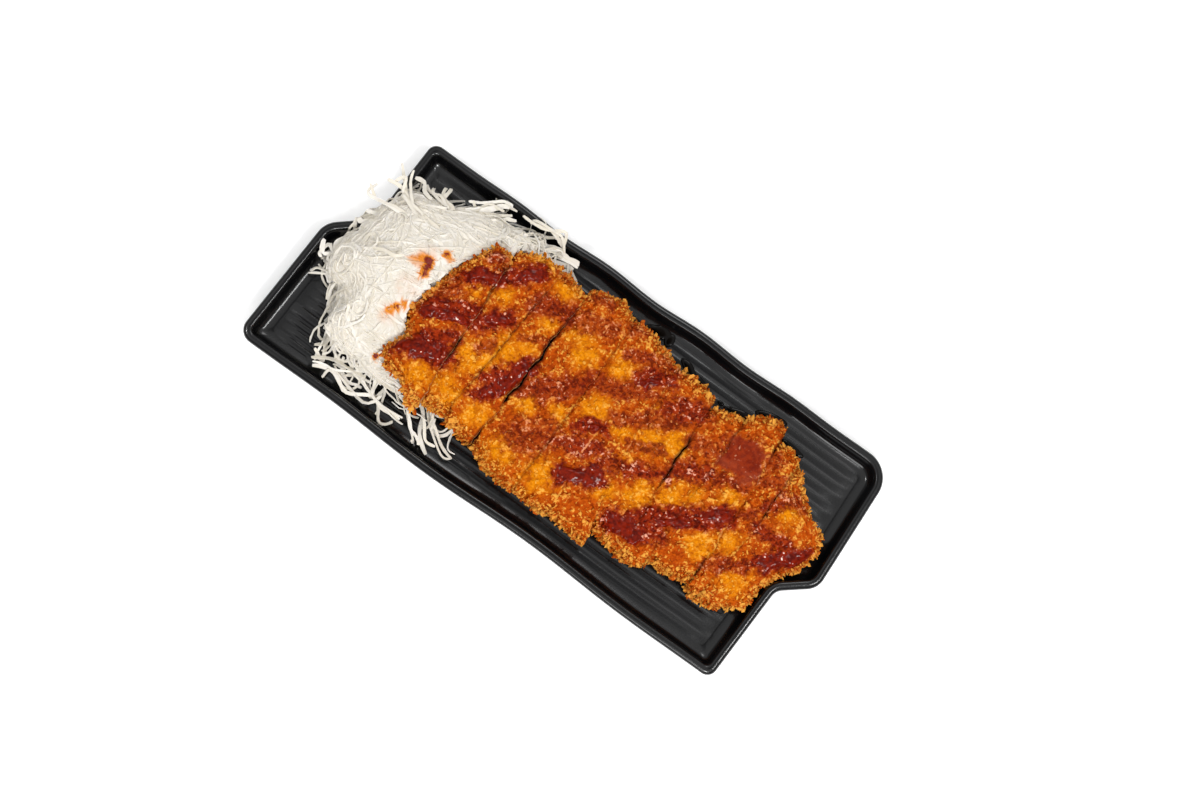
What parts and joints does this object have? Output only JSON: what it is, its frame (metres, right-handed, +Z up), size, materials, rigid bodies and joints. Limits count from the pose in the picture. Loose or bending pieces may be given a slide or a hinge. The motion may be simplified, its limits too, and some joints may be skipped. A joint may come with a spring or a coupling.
{
  "type": "tonkatsu plate",
  "caption": "Oblong black serving plate with stepped ends, holding a sliced breaded cutlet under drizzled brown sauce that leans on a heap of shredded cabbage.",
  "frame": {"origin": "centre of the whole object's box, at the level the plate stands on", "axes": "+X along the plate's long side, from the cabbage to the end of the cutlet; +Y across the plate; +Z up"},
  "size_m": [0.29, 0.1334, 0.0397],
  "materials": {
    "plate": "satin black with carved ribs",
    "cabbage": "moist, pale, finely shredded",
    "crust": "fried golden crumb with dark glossy sauce"
  },
  "bodies": {
    "root": {"plate": "plate", "cabbage": "cabbage", "slice_1": "crust", "slice_2": "crust", "slice_3": "crust", "slice_4": "crust", "slice_5": "crust", "slice_6": "crust", "slice_7": "crust", "slice_8": "crust", "slice_9": "crust", "slice_10": "crust", "slice_11": "crust"}
  },
  "joints": []
}
